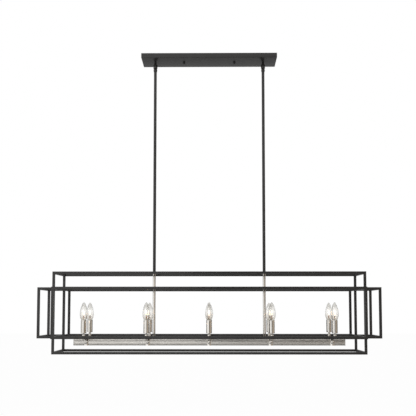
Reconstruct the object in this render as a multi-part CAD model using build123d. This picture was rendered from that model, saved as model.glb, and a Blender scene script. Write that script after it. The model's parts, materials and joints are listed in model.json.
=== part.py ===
from build123d import *

import os
from math import asin, cos, sin

# A linear island pendant: a long ceiling canopy, two rods on hang-straight swivels,
# three interlocking box frames of square tube, and a light bar with five pairs of
# candle lights.
#
# Frame: millimetres, X along the canopy, Y from the front to the back, Z up.
# The origin is on the ceiling, over the middle of the canopy.

# ---------------------------------------------------------------- driving dimensions

# Canopy: a folded pan, open at the top where it meets the ceiling.
canopy_length = 624.0
canopy_width = 126.0
canopy_height = 21.0
canopy_wall = 1.2
canopy_edge_radius = 0.8

# Mounting crossbar on the outlet box, with two slots for the box screws.
crossbar_length = 262.0
crossbar_width = 22.0
crossbar_thickness = 2.5
box_slot_spacing = 79.4
box_slot_length = 15.0
box_slot_width = 4.8

# Studs that hang from the crossbar, and the cap nuts that hold the canopy up.
stud_spacing = 235.0
stud_diameter = 4.0
stud_engagement = 7.0
lock_nut_across_flats = 8.7
lock_nut_height = 3.2
cap_nut_diameter = 11.0
cap_nut_rim = 4.0
cap_nut_height = 9.5

# Ground screw in the crossbar.
ground_screw_offset = 62.0
ground_screw_diameter = 4.0
ground_screw_length = 9.0
ground_screw_head_diameter = 8.0
ground_screw_head_height = 2.4

# Hang-straight swivels. Heights below are counted down from the canopy's floor.
rod_spacing = 503.0
nipple_diameter = 8.0
nipple_bore = 5.0
nipple_rise = 9.0
washer_diameter = 22.0
washer_thickness = 1.5
swivel_nut_across_flats = 14.0
swivel_nut_height = 4.0
swivel_neck_diameter = 11.0
swivel_neck_length = 11.4
housing_diameter = 19.2
housing_height = 19.6
housing_shoulder = 3.0
housing_mouth_diameter = 16.0
housing_rim_diameter = 17.8
ball_diameter = 15.0
ball_below_housing_top = 10.6
ball_lip_below_centre = 4.6
ball_stem_diameter = 8.0
ball_stem_length = 30.0

# Ferrule that joins the swivel ball to its rod.
ferrule_gap = 2.2
ferrule_top_diameter = 10.0
ferrule_diameter = 17.6
ferrule_dome_height = 3.6
ferrule_body_height = 3.0
ferrule_skirt_height = 6.6
ferrule_skirt_diameter = 15.6
ferrule_web = 3.5

# Black hanging rods, made of equal sections.
rod_diameter = 13.5
rod_bore = 9.0
rod_section_length = 314.8
rod_section_count = 3
joint_stud_length = 24.0
rod_washer_diameter = 15.0
rod_washer_thickness = 1.5

# Square tube, and the three box frames that are welded together.
tube = 11.0
tube_wall = 1.2
tall_frame_length = 1387.0
tall_frame_depth = 223.0
tall_frame_height = 365.0
long_frame_overhang = 68.5
long_frame_height = 226.0
deep_frame_depth = 358.0

# Straps across the tall frame's top, where the rods come through.
strap_width = 25.0
strap_thickness = 4.0
through_nipple_length = 34.0

# Nickel rods inside the frame.
lower_rod_diameter = 12.7
lower_rod_collar_diameter = 16.0
lower_rod_collar_height = 9.0
bar_nipple_length = 20.0
bar_lock_nut_size = 12.6
bar_lock_nut_height = 4.0

# Light bar: a rectangular tube with a cap at each end.
bar_length = 1234.0
bar_depth = 16.0
bar_height = 28.5
bar_wall = 1.2
bar_bottom_above_tall_bottom = 34.0
end_cap_thickness = 2.0
end_cap_plug = 6.0

# Stations along the bar: one saddle, one cross arm and two candles at each.
station_count = 5
station_pitch = 279.0
candle_spacing = 155.0
saddle_diameter = 24.0
saddle_above_arm = 7.0
arm_above_bar = 7.0
arm_diameter = 9.5
arm_bore = 6.0
wire_hole_diameter = 5.0
saddle_bolt_diameter = 4.0
saddle_nut_diameter = 16.5
saddle_nut_rim = 4.0
saddle_nut_height = 8.5
saddle_nut_engagement = 5.0
arm_end_diameter = 15.0
arm_end_height = 14.0

# Candle lights.
foot_height = 17.0
foot_neck_diameter = 9.0
foot_neck_height = 4.0
foot_flange_thickness = 2.0
sleeve_diameter = 25.0
sleeve_wall = 1.0
sleeve_height = 56.0
socket_nipple_below = 9.0
socket_nipple_above = 8.0
socket_diameter = 17.0
socket_height = 41.5
contact_diameter = 8.0
contact_thickness = 1.0

# Bulbs: a torpedo-shaped clear lamp on a small screw base.
bulb_diameter = 34.6
bulb_above_sleeve = 80.0
bulb_widest_above_sleeve = 26.0
bulb_at_sleeve_diameter = 20.0
bulb_neck_diameter = 10.4
bulb_glass_wall = 0.8
base_diameter = 11.8
base_top_below_sleeve = 12.0
base_height = 20.5
base_recess_depth = 6.0
base_tip_diameter = 6.0
base_tip_height = 3.0
filament_mount_diameter = 6.0
filament_mount_height = 30.0
filament_wire_diameter = 0.9
filament_spread = 5.0
filament_height = 24.0

# Clearances.
running_clearance = 0.05
hole_clearance = 0.5
bulb_clearance = 0.3

# ---------------------------------------------------------------- levels and places

canopy_floor = -canopy_height
ball_centre_z = canopy_floor - swivel_neck_length - ball_below_housing_top
housing_bottom_z = canopy_floor - swivel_neck_length - housing_height
ferrule_top_z = housing_bottom_z - ferrule_gap
rod_top_z = ferrule_top_z - ferrule_dome_height - ferrule_web
rod_bottom_z = rod_top_z - rod_section_count * rod_section_length

tall_top_z = rod_bottom_z - rod_washer_thickness
frame_centre_z = tall_top_z - tall_frame_height / 2
tall_bottom_z = tall_top_z - tall_frame_height
strap_bottom_z = tall_top_z - strap_thickness

# The long frame passes just inside the tall frame's posts and stands out beyond them at
# both ends. The deep frame's ends lie just inside the same posts. Both have one height,
# because they share their tubes' level where they cross.
long_frame_length = tall_frame_length + 2 * long_frame_overhang
long_frame_depth = tall_frame_depth - 2 * tube
deep_frame_length = tall_frame_length - 2 * tube
deep_frame_height = long_frame_height

bar_bottom_z = tall_bottom_z + bar_bottom_above_tall_bottom
bar_top_z = bar_bottom_z + bar_height
bar_middle_z = bar_bottom_z + bar_height / 2
arm_z = bar_top_z + arm_above_bar
saddle_top_z = arm_z + saddle_above_arm
arm_end_top_z = arm_z + arm_end_height / 2
sleeve_bottom_z = arm_end_top_z + foot_height
sleeve_top_z = sleeve_bottom_z + sleeve_height

rod_places = [-rod_spacing / 2, rod_spacing / 2]
stud_places = [-stud_spacing / 2, stud_spacing / 2]
station_places = [(i - (station_count - 1) / 2) * station_pitch for i in range(station_count)]
candle_rows = {"front": -candle_spacing / 2, "back": candle_spacing / 2}
candle_places = [(x, y) for x in station_places for y in candle_rows.values()]

nodes = {}


# ---------------------------------------------------------------- shape helpers

def turned(profile):
    """Solid of revolution about Z from (radius, height) corners."""
    outline = Polyline(*profile, close=True)
    return revolve(Plane.XZ * make_face(outline), axis=Axis.Z)


def upright(radius, bottom, top):
    """Solid cylinder about Z between two levels."""
    return Pos(0, 0, (bottom + top) / 2) * Cylinder(radius, top - bottom)


def pipe(outer_diameter, bore, bottom, top):
    """Round tube about Z between two levels."""
    return upright(outer_diameter / 2, bottom, top) - upright(bore / 2, bottom, top)


def block(x_size, y_size, z_low, z_high):
    """Box centred on X and Y, between two levels."""
    return Pos(0, 0, (z_low + z_high) / 2) * Box(x_size, y_size, z_high - z_low)


def domed(radius, flat_end, rim, dome_end):
    """Round button about Z: a flat end, a straight rim and a ball-shaped end."""
    rise = dome_end - rim
    ball_radius = (radius**2 + rise**2) / (2 * rise)
    half_angle = asin(radius / ball_radius) / 2
    middle = (ball_radius * sin(half_angle), dome_end - ball_radius * (1 - cos(half_angle)))
    dome = ThreePointArc((radius, rim), middle, (0, dome_end))
    sides = Polyline((0, dome_end), (0, flat_end), (radius, flat_end), (radius, rim))
    return revolve(Plane.XZ * make_face([dome, sides]), axis=Axis.Z)


def hex_nut(across_flats, bore, bottom, top):
    """Hexagon nut about Z between two levels."""
    outline = RegularPolygon(across_flats / 2, 6, major_radius=False)
    body = Pos(0, 0, bottom) * extrude(outline, amount=top - bottom)
    return body - upright(bore / 2, bottom, top)


def at_places(shape, places):
    """Copies of one solid at points (x, y), as a group of separate solids."""
    return Compound([Pos(x, y, 0) * shape for x, y in places])


def at_rods(shape):
    """Copies of one solid at both rods."""
    return at_places(shape, [(x, 0) for x in rod_places])


# ---------------------------------------------------------------- canopy

def make_canopy_shell():
    pan = block(canopy_length, canopy_width, canopy_floor, 0)
    pan = fillet(pan.edges().filter_by(Axis.Z), canopy_edge_radius)
    pan = fillet(pan.faces().sort_by(Axis.Z)[0].edges(), canopy_edge_radius)
    inside_length = canopy_length - 2 * canopy_wall
    inside_width = canopy_width - 2 * canopy_wall
    pan -= block(inside_length, inside_width, canopy_floor + canopy_wall, 0)
    nipple_hole = upright(nipple_diameter / 2 + hole_clearance, canopy_floor, 0)
    stud_hole = upright(stud_diameter / 2 + hole_clearance, canopy_floor, 0)
    for x in rod_places:
        pan -= Pos(x, 0, 0) * nipple_hole
    for x in stud_places:
        pan -= Pos(x, 0, 0) * stud_hole
    return pan


def make_mounting_crossbar():
    bar = block(crossbar_length, crossbar_width, -crossbar_thickness, 0)
    slot = extrude(SlotOverall(box_slot_length, box_slot_width), amount=-crossbar_thickness)
    for side in (-1, 1):
        bar -= Pos(side * box_slot_spacing / 2, 0, 0) * slot
    stud_hole = upright(stud_diameter / 2, -crossbar_thickness, 0)
    for x in stud_places:
        bar -= Pos(x, 0, 0) * stud_hole
    screw_hole = upright(ground_screw_diameter / 2, -crossbar_thickness, 0)
    return bar - Pos(ground_screw_offset, 0, 0) * screw_hole


def make_ground_screw():
    shank = upright(ground_screw_diameter / 2, -ground_screw_length, 0)
    head_top = -crossbar_thickness
    head = upright(ground_screw_head_diameter / 2, head_top - ground_screw_head_height, head_top)
    return Pos(ground_screw_offset, 0, 0) * (shank + head)


def make_canopy_nut():
    """Cap nut under the canopy's floor: a short rim and a domed end, with a blind bore."""
    radius = cap_nut_diameter / 2
    rim_z = canopy_floor - cap_nut_rim
    end_z = canopy_floor - cap_nut_height
    body = Rot(180, 0, 0) * domed(radius, -canopy_floor, -rim_z, -end_z)
    bore_radius = stud_diameter / 2 + running_clearance
    bore_end = canopy_floor - stud_engagement - running_clearance
    return body - upright(bore_radius, bore_end, canopy_floor)


def make_canopy():
    nodes["canopy_shell"] = make_canopy_shell()
    nodes["mounting_crossbar"] = make_mounting_crossbar()
    nodes["ground_screw"] = make_ground_screw()
    studs = [(x, 0) for x in stud_places]
    stud = upright(stud_diameter / 2, canopy_floor - stud_engagement, 0)
    nodes["canopy_studs"] = at_places(stud, studs)
    nut_top = -crossbar_thickness
    nut = hex_nut(lock_nut_across_flats, stud_diameter, nut_top - lock_nut_height, nut_top)
    nodes["stud_lock_nuts"] = at_places(nut, studs)
    nodes["canopy_nut_left"] = Pos(stud_places[0], 0, 0) * make_canopy_nut()
    nodes["canopy_nut_right"] = Pos(stud_places[1], 0, 0) * make_canopy_nut()


# ---------------------------------------------------------------- swivels

def make_swivel_housing():
    """Neck under the canopy and a barrel that holds the ball, open below as a cone."""
    neck_radius = swivel_neck_diameter / 2
    radius = housing_diameter / 2
    top_z = canopy_floor - swivel_neck_length
    widest_z = top_z - housing_shoulder
    outline = [
        (0, canopy_floor),
        (neck_radius, canopy_floor),
        (neck_radius, top_z + 1),
        (radius - housing_shoulder / 2, top_z - housing_shoulder / 4),
        (radius, widest_z),
        (radius, housing_bottom_z + housing_shoulder),
        (housing_rim_diameter / 2, housing_bottom_z),
        (0, housing_bottom_z),
    ]
    body = turned(outline)
    cavity_radius = ball_diameter / 2 + running_clearance
    cavity = Pos(0, 0, ball_centre_z) * Sphere(cavity_radius)
    lip_z = ball_centre_z - ball_lip_below_centre
    lip_radius = (cavity_radius**2 - ball_lip_below_centre**2) ** 0.5
    below_lip = block(2 * ball_diameter, 2 * ball_diameter, housing_bottom_z - ball_diameter, lip_z)
    mouth_radius = housing_mouth_diameter / 2
    mouth = turned([(0, lip_z), (lip_radius, lip_z), (mouth_radius, housing_bottom_z), (0, housing_bottom_z)])
    nipple_seat = upright(nipple_diameter / 2, top_z, canopy_floor)
    wire_way = upright(nipple_bore / 2, ball_centre_z, canopy_floor)
    return body - (cavity - below_lip) - mouth - nipple_seat - wire_way


def make_swivel_ball():
    """Ball with the stem that the ferrule screws onto, bored for the wires."""
    stem_bottom = ball_centre_z - ball_stem_length
    ball = Pos(0, 0, ball_centre_z) * Sphere(ball_diameter / 2)
    stem = upright(ball_stem_diameter / 2, stem_bottom, ball_centre_z)
    wire_way = upright(nipple_bore / 2, stem_bottom, ball_centre_z + ball_diameter)
    return ball + stem - wire_way


def make_rod_ferrule():
    """Domed sleeve: it grips the ball's stem above and the rod's top below."""
    dome_z = ferrule_top_z - ferrule_dome_height
    body_z = dome_z - ferrule_body_height
    skirt_z = body_z - ferrule_skirt_height
    body = turned([
        (0, ferrule_top_z),
        (ferrule_top_diameter / 2, ferrule_top_z),
        ((ferrule_top_diameter + ferrule_diameter) / 4 + 1.2, ferrule_top_z - ferrule_dome_height / 3),
        (ferrule_diameter / 2, dome_z),
        (ferrule_diameter / 2, body_z),
        (ferrule_skirt_diameter / 2, skirt_z),
        (0, skirt_z),
    ])
    body -= upright(ball_stem_diameter / 2, skirt_z, ferrule_top_z)
    return body - upright(rod_diameter / 2, skirt_z, rod_top_z)


def make_swivels():
    floor_top = canopy_floor + canopy_wall
    washer_top = floor_top + washer_thickness
    nut_top = washer_top + swivel_nut_height
    neck_bottom = canopy_floor - swivel_neck_length
    nipple = pipe(nipple_diameter, nipple_bore, neck_bottom, floor_top + nipple_rise)
    nodes["swivel_nipples"] = at_rods(nipple)
    washer_hole = nipple_diameter + 2 * running_clearance
    nodes["swivel_washers"] = at_rods(pipe(washer_diameter, washer_hole, floor_top, washer_top))
    nodes["swivel_lock_nuts"] = at_rods(
        hex_nut(swivel_nut_across_flats, nipple_diameter, washer_top, nut_top)
    )
    nodes["swivel_housings"] = at_rods(make_swivel_housing())
    nodes["swivel_balls"] = at_rods(make_swivel_ball())
    nodes["rod_ferrules"] = at_rods(make_rod_ferrule())


# ---------------------------------------------------------------- hanging rods

def make_rods():
    for side, x in zip(["left", "right"], rod_places):
        for i in range(rod_section_count):
            top = rod_top_z - i * rod_section_length
            section = pipe(rod_diameter, rod_bore, top - rod_section_length, top)
            nodes[f"rod_{side}_section_{i + 1}"] = Pos(x, 0, 0) * section
    stud_size = rod_bore - 2 * running_clearance
    joint_studs = []
    for i in range(1, rod_section_count):
        joint_z = rod_top_z - i * rod_section_length
        stud = pipe(stud_size, nipple_bore, joint_z - joint_stud_length / 2, joint_z + joint_stud_length / 2)
        joint_studs += [Pos(x, 0, 0) * stud for x in rod_places]
    nodes["rod_joint_studs"] = Compound(joint_studs)
    washer_hole = rod_bore
    nodes["rod_washers"] = at_rods(pipe(rod_washer_diameter, washer_hole, tall_top_z, rod_bottom_z))


# ---------------------------------------------------------------- box frames

def mitred_bar(corners, hollow_corners, y_middle):
    """One side of a ring: a tube with both ends cut at 45 degrees."""
    plane = Plane.XZ.offset(-y_middle)
    bar = extrude(plane * Polygon(*corners, align=None), amount=tube / 2, both=True)
    hollow = Polygon(*hollow_corners, align=None)
    return bar - extrude(plane * hollow, amount=tube / 2 - tube_wall, both=True)


def rectangle_corners(length, height, inset):
    """Corners of a centred rectangle, counter-clockwise, moved in by an inset."""
    x = length / 2 - inset
    z = height / 2 - inset
    return [(-x, -z), (x, -z), (x, z), (-x, z)]


def frame_ring(length, height, y_middle):
    """Rectangular ring of four mitred square tubes in a plane of constant Y."""
    outer = rectangle_corners(length, height, 0)
    inner = rectangle_corners(length, height, tube)
    hollow_outer = rectangle_corners(length, height, tube_wall)
    hollow_inner = rectangle_corners(length, height, tube - tube_wall)
    bars = []
    for i in range(4):
        j = (i + 1) % 4
        corners = [outer[i], outer[j], inner[j], inner[i]]
        hollow_corners = [hollow_outer[i], hollow_outer[j], hollow_inner[j], hollow_inner[i]]
        bars.append(Pos(0, 0, frame_centre_z) * mitred_bar(corners, hollow_corners, y_middle))
    return Compound(bars)


def cross_tube(y_low, y_high):
    """Straight square tube along Y."""
    length = y_high - y_low
    bar = Box(tube, length, tube)
    hollow = Box(tube - 2 * tube_wall, length, tube - 2 * tube_wall)
    return Pos(0, (y_low + y_high) / 2, 0) * (bar - hollow)


def corner_crossbars(length, height, y_spans):
    """Crossbars at the four corners of a frame's rings, one for each span in Y."""
    bars = []
    for x, z in rectangle_corners(length, height, tube / 2):
        bars += [Pos(x, 0, frame_centre_z + z) * cross_tube(low, high) for low, high in y_spans]
    return Compound(bars)


def make_frame(name, length, depth, height, y_spans):
    ring_y = depth / 2 - tube / 2
    nodes[f"{name}_front"] = frame_ring(length, height, -ring_y)
    nodes[f"{name}_back"] = frame_ring(length, height, ring_y)
    nodes[f"{name}_crossbars"] = corner_crossbars(length, height, y_spans)


def make_frames():
    tall_reach = tall_frame_depth / 2 - tube
    make_frame("tall_frame", tall_frame_length, tall_frame_depth, tall_frame_height, [(-tall_reach, tall_reach)])
    long_reach = long_frame_depth / 2 - tube
    make_frame("long_frame", long_frame_length, long_frame_depth, long_frame_height, [(-long_reach, long_reach)])
    # The deep frame's crossbars stop at the long frame's bars and go on beyond them.
    deep_reach = deep_frame_depth / 2 - tube
    long_outside = long_frame_depth / 2
    spans = [(-deep_reach, -long_outside), (-long_reach, long_reach), (long_outside, deep_reach)]
    make_frame("deep_frame", deep_frame_length, deep_frame_depth, deep_frame_height, spans)


# ---------------------------------------------------------------- rods inside the frame

def make_lower_rods():
    strap_length = tall_frame_depth - 2 * tube
    strap = block(strap_width, strap_length, strap_bottom_z, tall_top_z)
    strap -= upright(rod_bore / 2, strap_bottom_z, tall_top_z)
    nodes["rod_straps"] = at_rods(strap)
    nipple_size = rod_bore - 2 * running_clearance
    strap_middle = (strap_bottom_z + tall_top_z) / 2
    nipple_low = strap_middle - through_nipple_length / 2
    nipple_high = strap_middle + through_nipple_length / 2
    nodes["through_nipples"] = at_rods(pipe(nipple_size, nipple_bore, nipple_low, nipple_high))
    lower_rod = pipe(lower_rod_diameter, rod_bore, bar_top_z, strap_bottom_z)
    nodes["lower_rod_left"] = Pos(rod_places[0], 0, 0) * lower_rod
    nodes["lower_rod_right"] = Pos(rod_places[1], 0, 0) * lower_rod
    collar_top = bar_top_z + lower_rod_collar_height
    collar = pipe(lower_rod_collar_diameter, lower_rod_diameter, bar_top_z, collar_top)
    nodes["lower_rod_collars"] = at_rods(collar)
    ceiling_of_bar = bar_top_z - bar_wall
    nut_bottom = ceiling_of_bar - bar_lock_nut_height
    nut = block(bar_lock_nut_size, bar_lock_nut_size, nut_bottom, ceiling_of_bar)
    nodes["bar_lock_nuts"] = at_rods(nut - upright(nipple_size / 2, nut_bottom, ceiling_of_bar))
    nipple = pipe(nipple_size, nipple_bore, nut_bottom, nut_bottom + bar_nipple_length)
    nodes["bar_nipples"] = at_rods(nipple)


# ---------------------------------------------------------------- light bar

def make_light_bar():
    tube_length = bar_length - 2 * end_cap_thickness
    inside_depth = bar_depth - 2 * bar_wall
    inside_low = bar_bottom_z + bar_wall
    inside_high = bar_top_z - bar_wall
    bar = block(tube_length, bar_depth, bar_bottom_z, bar_top_z)
    bar -= block(tube_length, inside_depth, inside_low, inside_high)
    nipple_hole = upright(rod_bore / 2, inside_high, bar_top_z)
    for x in rod_places:
        bar -= Pos(x, 0, 0) * nipple_hole
    wire_hole = upright(wire_hole_diameter / 2, inside_high, bar_top_z)
    bolt_hole = Pos(0, 0, bar_middle_z) * Rot(90, 0, 0) * Cylinder(saddle_bolt_diameter / 2, bar_depth)
    for x in station_places:
        bar -= Pos(x, 0, 0) * wire_hole
        bar -= Pos(x, 0, 0) * bolt_hole
    nodes["light_bar"] = bar
    caps = []
    for side in (-1, 1):
        plate = block(end_cap_thickness, bar_depth, bar_bottom_z, bar_top_z)
        plug = block(end_cap_plug, inside_depth, inside_low, inside_high)
        plate_x = side * (bar_length - end_cap_thickness) / 2
        plug_x = side * (tube_length - end_cap_plug) / 2
        caps.append(Pos(plate_x, 0, 0) * plate + Pos(plug_x, 0, 0) * plug)
    nodes["light_bar_end_caps"] = Compound(caps)


def make_arm_saddle():
    """Round saddle that straddles the bar and carries the cross arm in its top."""
    body = upright(saddle_diameter / 2, bar_bottom_z, saddle_top_z)
    body = chamfer(body.faces().sort_by(Axis.Z)[-1].edges(), 1.5)
    body -= block(2 * saddle_diameter, bar_depth, bar_bottom_z, bar_top_z)
    body -= Pos(0, 0, arm_z) * Rot(90, 0, 0) * Cylinder(arm_diameter / 2, 2 * saddle_diameter)
    body -= Pos(0, 0, bar_middle_z) * Rot(90, 0, 0) * Cylinder(saddle_bolt_diameter / 2, 2 * saddle_diameter)
    return body - upright(wire_hole_diameter / 2, bar_top_z, arm_z)


def make_saddle_nut():
    """Domed nut on the front of a saddle, its seat cut to the saddle's round cheek."""
    radius = saddle_nut_diameter / 2
    reach = saddle_diameter / 2 + saddle_nut_height
    rim = reach - saddle_nut_height + saddle_nut_rim
    inner = saddle_diameter / 2 - saddle_nut_rim
    nut = domed(radius, inner, rim, reach)
    bolt_end = saddle_diameter / 2 + saddle_nut_engagement
    nut -= upright(saddle_bolt_diameter / 2, inner, bolt_end)
    nut = Pos(0, 0, bar_middle_z) * Rot(90, 0, 0) * nut
    return nut - upright(saddle_diameter / 2, bar_bottom_z, bar_top_z)


def make_stations():
    stations = [(x, 0) for x in station_places]
    nodes["arm_saddles"] = at_places(make_arm_saddle(), stations)
    bolt_length = saddle_diameter + 2 * saddle_nut_engagement
    bolt = Pos(0, 0, bar_middle_z) * Rot(90, 0, 0) * Cylinder(saddle_bolt_diameter / 2, bolt_length)
    nodes["saddle_bolts"] = at_places(bolt, stations)
    front_nut = make_saddle_nut()
    back_nut = Rot(0, 0, 180) * front_nut
    nuts = [Pos(x, 0, 0) * nut for x in station_places for nut in (front_nut, back_nut)]
    nodes["saddle_cap_nuts"] = Compound(nuts)
    arm = Cylinder(arm_diameter / 2, candle_spacing) - Cylinder(arm_bore / 2, candle_spacing)
    arm = Pos(0, 0, arm_z) * Rot(90, 0, 0) * arm
    wire_hole = upright(wire_hole_diameter / 2, arm_z - arm_diameter, arm_z)
    nodes["cross_arms"] = at_places(arm - wire_hole, stations)
    nodes["arm_ends"] = Compound([
        Pos(x, y, 0) * make_arm_end(1 if y < 0 else -1) for x, y in candle_places
    ])


def make_arm_end(inward):
    """Short drum on the end of a cross arm, with a blind side bore that holds the arm."""
    drum = upright(arm_end_diameter / 2, arm_z - arm_end_height / 2, arm_end_top_z)
    drum = fillet(drum.faces().sort_by(Axis.Z)[0].edges(), 2.0)
    side_bore = Rot(90, 0, 0) * Cylinder(arm_diameter / 2, arm_end_diameter)
    drum -= Pos(0, inward * arm_end_diameter / 2, arm_z) * side_bore
    return drum - upright(wire_hole_diameter / 2, arm_z, arm_end_top_z)


# ---------------------------------------------------------------- candles

def make_candle_foot():
    """Turned foot: a flared base, a narrow neck and the flange that the sleeve stands on."""
    base_radius = arm_end_diameter / 2
    neck_radius = foot_neck_diameter / 2
    flange_radius = sleeve_diameter / 2
    flange_z = sleeve_bottom_z - foot_flange_thickness
    neck_z = flange_z - foot_neck_height
    flare = ThreePointArc(
        (base_radius, arm_end_top_z + 1),
        ((base_radius + 2 * neck_radius) / 3, (arm_end_top_z + 1 + neck_z) / 2),
        (neck_radius, neck_z),
    )
    below = Polyline((0, arm_end_top_z), (base_radius, arm_end_top_z), (base_radius, arm_end_top_z + 1))
    above = Polyline(
        (neck_radius, neck_z),
        (neck_radius, flange_z),
        (flange_radius, flange_z),
        (flange_radius, sleeve_bottom_z),
        (0, sleeve_bottom_z),
        (0, arm_end_top_z),
    )
    foot = revolve(Plane.XZ * make_face([below, flare, above]), axis=Axis.Z)
    foot -= upright(wire_hole_diameter / 2, arm_end_top_z, sleeve_bottom_z)
    return foot - upright(nipple_diameter / 2, sleeve_bottom_z - socket_nipple_below, sleeve_bottom_z)


def make_lamp_socket(base_bottom):
    """Insulating socket inside the sleeve, bored for the bulb's screw base."""
    socket_top = sleeve_bottom_z + socket_height
    floor = base_bottom - bulb_clearance - contact_thickness
    body = upright(socket_diameter / 2, sleeve_bottom_z, socket_top)
    body -= upright(base_diameter / 2 + bulb_clearance, floor, socket_top)
    return body - upright(nipple_diameter / 2, sleeve_bottom_z, sleeve_bottom_z + socket_nipple_above)


def glass_outline(inset):
    """Torpedo outline of the bulb from its neck up to its tip, moved in by a wall."""
    widest = (bulb_diameter / 2 - inset, sleeve_top_z + bulb_widest_above_sleeve)
    tip = (0, sleeve_top_z + bulb_above_sleeve - inset)
    at_sleeve = (bulb_at_sleeve_diameter / 2 - inset, sleeve_top_z)
    neck = (bulb_neck_diameter / 2 - inset, sleeve_top_z - base_top_below_sleeve)
    crown = Spline(widest, tip, tangents=[(0, 1), (-1, -0.15)], tangent_scalars=[1.3, 0.9])
    belly = Spline(neck, at_sleeve, widest, tangents=[(0.2, 1), (0, 1)])
    return neck, tip, belly, crown


def make_bulb(base_bottom):
    """Glass envelope, screw base and filament mount of one bulb, at the origin of X and Y."""
    base_top = sleeve_top_z - base_top_below_sleeve
    glass_end = base_top - base_recess_depth + 1
    neck, tip, belly, crown = glass_outline(0)
    inner_neck, inner_tip, inner_belly, inner_crown = glass_outline(bulb_glass_wall)
    outside = make_face([
        Line((0, glass_end), (neck[0], glass_end)),
        Line((neck[0], glass_end), neck),
        belly,
        crown,
        Line(tip, (0, glass_end)),
    ])
    inside = make_face([
        Line((0, glass_end), (inner_neck[0], glass_end)),
        Line((inner_neck[0], glass_end), inner_neck),
        inner_belly,
        inner_crown,
        Line(inner_tip, (0, glass_end)),
    ])
    glass = revolve(Plane.XZ * (outside - inside), axis=Axis.Z)

    shell_bottom = base_bottom + base_tip_height
    base = upright(base_diameter / 2, shell_bottom, base_top)
    base += upright(base_tip_diameter / 2, base_bottom, shell_bottom)
    recess_floor = base_top - base_recess_depth
    base -= upright(bulb_neck_diameter / 2 + running_clearance, recess_floor, base_top)

    mount_top = recess_floor + filament_mount_height
    mount = upright(filament_mount_diameter / 2, recess_floor, recess_floor + 2)
    mount += turned([
        (0, recess_floor),
        (filament_mount_diameter / 2, recess_floor + 2),
        (filament_wire_diameter, mount_top),
        (0, mount_top),
    ])
    wire_radius = filament_wire_diameter / 2
    filament_top = mount_top + filament_height
    for side in (-1, 1):
        wire = Pos(side * filament_spread / 2, 0, (mount_top + filament_top) / 2)
        mount += wire * Cylinder(wire_radius, filament_height)
    for level in (mount_top, filament_top):
        mount += Pos(0, 0, level) * Rot(0, 90, 0) * Cylinder(wire_radius, filament_spread)
    return [glass, base, mount]


def make_candles():
    nodes["candle_feet"] = at_places(make_candle_foot(), candle_places)
    sleeve_bore = sleeve_diameter - 2 * sleeve_wall
    sleeve = pipe(sleeve_diameter, sleeve_bore, sleeve_bottom_z, sleeve_top_z)
    nodes["candle_sleeves"] = at_places(sleeve, candle_places)
    nipple_low = sleeve_bottom_z - socket_nipple_below
    nipple_high = sleeve_bottom_z + socket_nipple_above
    nipple = pipe(nipple_diameter, nipple_bore, nipple_low, nipple_high)
    nodes["socket_nipples"] = at_places(nipple, candle_places)
    base_bottom = sleeve_top_z - base_top_below_sleeve - base_height - base_tip_height
    nodes["lamp_sockets"] = at_places(make_lamp_socket(base_bottom), candle_places)
    contact_top = base_bottom - bulb_clearance
    contact = upright(contact_diameter / 2, contact_top - contact_thickness, contact_top)
    nodes["socket_contacts"] = at_places(contact, candle_places)
    bulb = make_bulb(base_bottom)
    for i, x in enumerate(station_places):
        for row, y in candle_rows.items():
            nodes[f"bulb_{i + 1}_{row}"] = Compound([Pos(x, y, 0) * piece for piece in bulb])


# ---------------------------------------------------------------- assembly

make_canopy()
make_swivels()
make_rods()
make_frames()
make_lower_rods()
make_light_bar()
make_stations()
make_candles()

os.makedirs("parts", exist_ok=True)
for name, shape in nodes.items():
    export_step(shape, f"parts/{name}.step")

print("nodes", len(nodes))
print("swivel axis level", round(ball_centre_z, 3))
print("tall frame top", round(tall_top_z, 3), "frame centre", round(frame_centre_z, 3))
print("light bar bottom", round(bar_bottom_z, 3), "arm level", round(arm_z, 3))
print("sleeve bottom and top", round(sleeve_bottom_z, 3), round(sleeve_top_z, 3))
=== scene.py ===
"""Finishes and made detail for a long open-frame pendant with candle lights."""

import json
import math

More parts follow.
